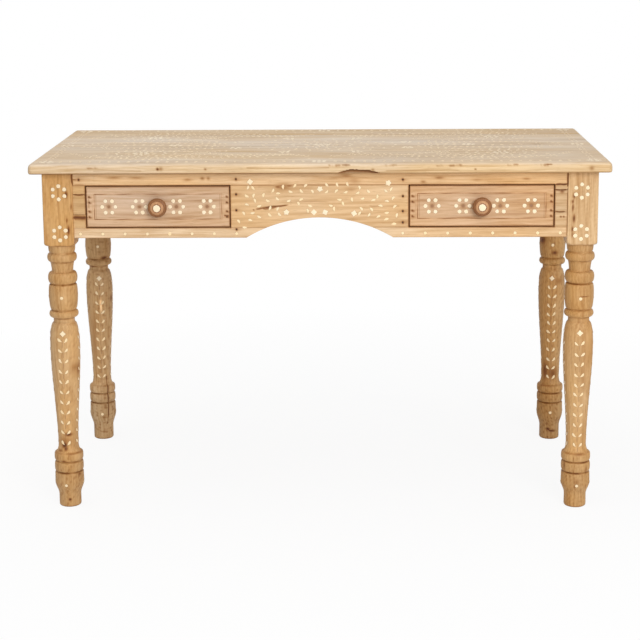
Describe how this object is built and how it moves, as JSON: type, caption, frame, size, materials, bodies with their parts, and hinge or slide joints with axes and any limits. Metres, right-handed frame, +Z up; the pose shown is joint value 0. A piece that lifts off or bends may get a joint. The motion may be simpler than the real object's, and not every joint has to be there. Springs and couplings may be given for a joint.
{
  "type": "writing desk",
  "caption": "Wooden writing desk with turned legs, an arched knee hole between drawers, and bone inlay.",
  "frame": {"origin": "on the floor, under the middle of the top", "axes": "+X to the right seen from the front, +Y to the back, +Z up"},
  "size_m": [1.22, 0.61, 0.762],
  "materials": {
    "top_wood": "bleached, brushed and waxed boards",
    "frame_wood": "planed and waxed",
    "leg_wood": "turned and waxed",
    "drawer_wood": "planed and waxed",
    "inner_wood": "sawn and bare",
    "knob_wood": "turned and waxed",
    "bone": "sanded bone",
    "nail_steel": "dull and slightly rusted"
  },
  "bodies": {
    "frame": {"leg_front_left": "leg_wood", "leg_front_right": "leg_wood", "leg_rear_left": "leg_wood", "leg_rear_right": "leg_wood", "top_rail": "frame_wood", "bottom_rail_left": "frame_wood", "bottom_rail_right": "frame_wood", "centre_panel": "frame_wood", "end_blocks_left": "frame_wood", "end_blocks_right": "frame_wood", "back_apron": "frame_wood", "side_apron_left": "frame_wood", "side_apron_right": "frame_wood", "divider_left": "inner_wood", "divider_right": "inner_wood", "runner_left_outer": "inner_wood", "runner_left_inner": "inner_wood", "runner_right_inner": "inner_wood", "runner_right_outer": "inner_wood", "guide_left": "inner_wood", "guide_right": "inner_wood", "kicker_left_outer": "inner_wood", "kicker_left_inner": "inner_wood", "kicker_right_inner": "inner_wood", "kicker_right_outer": "inner_wood", "drawer_stops": "inner_wood", "centre_batten": "inner_wood", "top_board_1": "top_wood", "top_board_2": "top_wood", "top_board_3": "top_wood", "top_board_4": "top_wood", "top_board_5": "top_wood", "top_screws": "nail_steel", "frame_nails": "nail_steel", "leg_inlay": "bone", "rail_inlay": "bone", "panel_inlay": "bone"},
    "drawer_left": {"drawer_left_front": "drawer_wood", "drawer_left_side_outer": "inner_wood", "drawer_left_side_inner": "inner_wood", "drawer_left_back": "inner_wood", "drawer_left_bottom": "inner_wood", "drawer_left_knob": "knob_wood", "drawer_left_knob_screw": "nail_steel", "drawer_left_nails": "nail_steel", "drawer_left_inlay": "bone", "drawer_left_knob_button": "bone"},
    "drawer_right": {"drawer_right_front": "drawer_wood", "drawer_right_side_outer": "inner_wood", "drawer_right_side_inner": "inner_wood", "drawer_right_back": "inner_wood", "drawer_right_bottom": "inner_wood", "drawer_right_knob": "knob_wood", "drawer_right_knob_screw": "nail_steel", "drawer_right_nails": "nail_steel", "drawer_right_inlay": "bone", "drawer_right_knob_button": "bone"}
  },
  "joints": [
    {"name": "drawer_left_slide", "type": "slide", "parent": "frame", "child": "drawer_left", "axis": [0, -1, 0], "range_m": [0, 0.33]},
    {"name": "drawer_right_slide", "type": "slide", "parent": "frame", "child": "drawer_right", "axis": [0, -1, 0], "range_m": [0, 0.33]}
  ]
}
